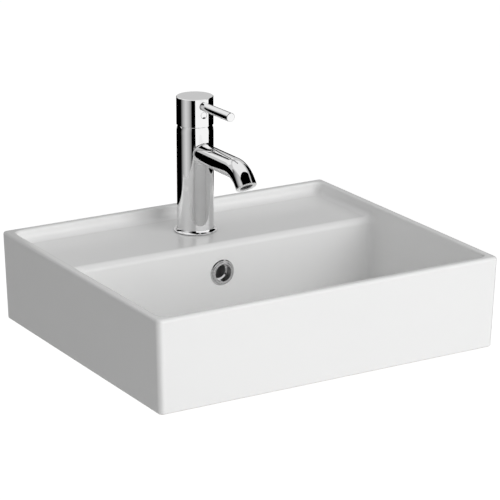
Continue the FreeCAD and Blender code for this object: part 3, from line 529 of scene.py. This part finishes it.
def lathe(name, corners, foot, along=(0, 0, 1), steps=SPIN_STEPS):
    """Spins a closed outline of millimetre corners round an axis through foot."""
    outline = [point / MILLIMETRE for point in rounded(corners)]
    chain = [(point.x - last.x, 0, point.y - last.y)
             for last, point in zip(outline, outline[1:] + outline[:1])]
    piece = draw_chain(name, (outline[0].x, 0, outline[0].y), chain)
    bpy.ops.mesh.select_all(action="SELECT")
    bpy.ops.mesh.remove_doubles(threshold=CHAIN_WELD)
    bpy.ops.mesh.spin(steps=steps, angle=math.tau, center=(0, 0, 0), axis=(0, 0, 1))
    close_seam()
    bpy.ops.object.mode_set(mode="OBJECT")
    piece.rotation_euler = Vector(along).to_track_quat("Z", "Y").to_euler()
    piece.location = foot
    bpy.ops.object.transform_apply(location=True, rotation=True, scale=True)
    return piece


print("the lathe is ready")

# %% [markdown]
# Every finished piece is installed the same way. Its faces are shaded smooth, apart from edges that
# are truly sharp, and weighted normals keep the flat faces flat beside their small arcs. Then it
# gets its finish, rides on its body and stands for its solid.

# %% Installing a piece
SHARP = math.radians(35)


def apply_modifier(piece, kind, **settings):
    modifier = piece.modifiers.new(kind.lower(), kind)
    for name, value in settings.items():
        setattr(modifier, name, value)
    bpy.context.view_layer.objects.active = piece
    bpy.ops.object.modifier_apply(modifier=modifier.name)


def install(piece, body, slot, finish, *nodes):
    """Smooths a piece, gives it its finish and sets it in place of the solids it stands for."""
    bpy.ops.object.select_all(action="DESELECT")
    piece.select_set(True)
    bpy.context.view_layer.objects.active = piece
    bpy.ops.object.shade_smooth_by_angle(angle=SHARP)
    apply_modifier(piece, "WEIGHTED_NORMAL", keep_sharp=True)
    if not piece.data.materials:
        piece.data.materials.append(finish)
    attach(piece, body)
    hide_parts(*nodes)
    print(piece.name, len(piece.data.polygons), "faces, stands for", *nodes)


print("edges over", round(math.degrees(SHARP)), "degrees stay sharp")

# %% [markdown]
# ## Overflow ring
#
# The ring in the bowl's back wall is a turned sleeve: a thin flange lies on the glaze, a rounded
# lip stands up round the bore, and a short tube goes into the hole and turns in at its end. The
# step between flange and lip draws the two circles that are seen from the front, and the tube's
# turned-in end the bright crescent inside.

# %% Overflow ring
LIP = 3.6
TUBE_END = -10.4
TURNED_IN = 0.7

low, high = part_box("overflow_ring")
centre = middle(low, high)
ring_foot = (centre[0], low[1] + LIP / MILLIMETRE, centre[2])
overflow = lathe("overflow_sleeve", [
    (10.3, TUBE_END, 0.2), (10.3, TUBE_END + TURNED_IN, 0.2), (11.8, TUBE_END + TURNED_IN, 0),
    (11.8, LIP, 0.6), (13.9, LIP, 0.9), (14.8, 1.5, 0.5), (16.6, 1.9, 0.5), (18.0, 0.4, 0.3),
    (17.6, 0.0, 0), (12.6, 0.0, 0), (12.6, TUBE_END, 0.2)], ring_foot, (0, -1, 0))
install(overflow, "basin", "chrome", shaded_ring_chrome, "overflow_ring")

# %% [markdown]
# ## Foot ring
#
# The ring under the mixer hides the edge of the tap hole. A flat lip lies on the ledge, and a
# hollow flare climbs from it to the column. The flare leans back far enough to see over the ledge,
# so it repeats the column's black and white bands in small. Its outline is an arc, from a steep
# start at the column to a slope.

# %% Foot ring
FLARE = 6.6
FLARE_TOP = 4.2
FLARE_START = 25.05
BORE = 25.0
EDGE = 29.6

low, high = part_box("foot_ring")
centre = middle(low, high)
leans = [math.radians(lean) for lean in range(48, 11, -3)]
flare = [(FLARE_START + FLARE * (math.cos(leans[-1]) - math.cos(lean)),
          FLARE_TOP + FLARE * (math.sin(leans[-1]) - math.sin(lean)), 0) for lean in leans]
foot = lathe("foot_flange", [
    (BORE, 0.0, 0), (EDGE - 0.3, 0.0, 0), (EDGE, 0.3, 0), (EDGE, flare[0][1], 0.25), *flare,
    (BORE, FLARE_TOP, 0)], (centre[0], centre[1], low[2]))
install(foot, "basin", "chrome", chrome, "foot_ring")

# %% [markdown]
# ## Waste plug
#
# The plug is a flat button that the user pushes down. Its top is crowned by under a millimetre so
# that water runs off, which makes its reflection swell towards the middle, and a chamfer runs round
# its edge.

# %% Waste plug
low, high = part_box("waste_plug")
centre = middle(low, high)
top = (high[2] - low[2]) * MILLIMETRE
underside = top - 3.4
plug = lathe("plug_button", [
    (0.0, 0.0, 0), (9.0, 0.0, 0.4), (9.0, underside, 0.3), (27.6, underside, 0.3),
    (28.2, top - 2.6, 0.4), (28.2, top - 1.5, 0.4), (26.8, top - 0.7, 1.5),
    (18.0, top - 0.28, 20.0), (8.0, top - 0.04, 20.0), (0.0, top, 0)],
    (centre[0], centre[1], low[2]))
install(plug, "plug", "chrome", chrome, "waste_plug")

# %% [markdown]
# ## Index plug
#
# A small plug covers the screw that clamps the handle. It is pressed in, and a notch at its lower
# edge lets a blade lift it out again. The notch is cut by a ball, as a Boolean, and its faces are
# painted dark: painted shade in the notch.

# %% Index plug
NOTCH_RADIUS = 0.0032
NOTCH_OUT = 0.0014
NOTCH_DROP = 0.0052

low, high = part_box("index_plug")
centre = middle(low, high)
thick = (high[1] - low[1]) * MILLIMETRE
index = lathe("index_button", [
    (0.0, 0.0, 0), (4.5, 0.0, 0.2), (4.5, thick, 0.5), (0.0, thick, 0)],
    (centre[0], high[1], centre[2]), (0, -1, 0))
index.data.materials.append(chrome)
# painted shade: the faces of the notch get the dark finish
index.data.materials.append(dark_plastic_and_painted_shade)
bpy.ops.mesh.primitive_uv_sphere_add(
    segments=48, ring_count=24, radius=NOTCH_RADIUS,
    location=(centre[0], low[1] - NOTCH_OUT, centre[2] - NOTCH_DROP))
notch = bpy.context.object
notch.data.materials.append(dark_plastic_and_painted_shade)
apply_modifier(index, "BOOLEAN", operation="DIFFERENCE", object=notch, material_mode="TRANSFER")
bpy.data.objects.remove(notch)
install(index, "handle", "chrome", chrome, "index_plug")

# %% [markdown]
# ## Threaded rod
#
# The mixer is pulled down on the ledge by a threaded rod with a nut under it. Its thread is real
# geometry, because its outline shows from below: one pitch of the profile is drawn, a Screw
# modifier climbs it round the axis, and two cuts across close the ends.

# %% Threaded rod
PITCH = 0.00125
ROOT_RADIUS = 0.0034
THREAD = ((0.0006, 0, 0.0005), (0, 0, 0.00015), (-0.0006, 0, 0.0005), (0, 0, 0.0001))
FACETS = 20

low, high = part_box("fixing_stud")
centre = middle(low, high)
turns = math.ceil((high[2] - low[2]) / PITCH) + 2
rod = draw_chain("threaded_rod", (ROOT_RADIUS, 0, 0), THREAD)
bpy.ops.object.mode_set(mode="OBJECT")
apply_modifier(rod, "SCREW", axis="Z", angle=math.tau, screw_offset=PITCH, iterations=turns,
               steps=FACETS, render_steps=FACETS, use_merge_vertices=True,
               merge_threshold=SPIN_WELD)
rod.location = (centre[0], centre[1], low[2] - 1.5 * PITCH)
bpy.ops.object.transform_apply(location=True, rotation=True, scale=True)
print("thread of", turns, "turns")

# %% Ends of the rod
bpy.ops.object.mode_set(mode="EDIT")
close_seam()
for cut, above in ((low[2], False), (high[2], True)):
    bpy.ops.mesh.select_all(action="SELECT")
    bpy.ops.mesh.bisect(plane_co=(0, 0, cut), plane_no=(0, 0, 1), use_fill=True,
                        clear_inner=not above, clear_outer=above)
bpy.ops.mesh.select_all(action="SELECT")
bpy.ops.mesh.normals_make_consistent(inside=False)
bpy.ops.object.mode_set(mode="OBJECT")
install(rod, "basin", "steel", steel, "fixing_stud")
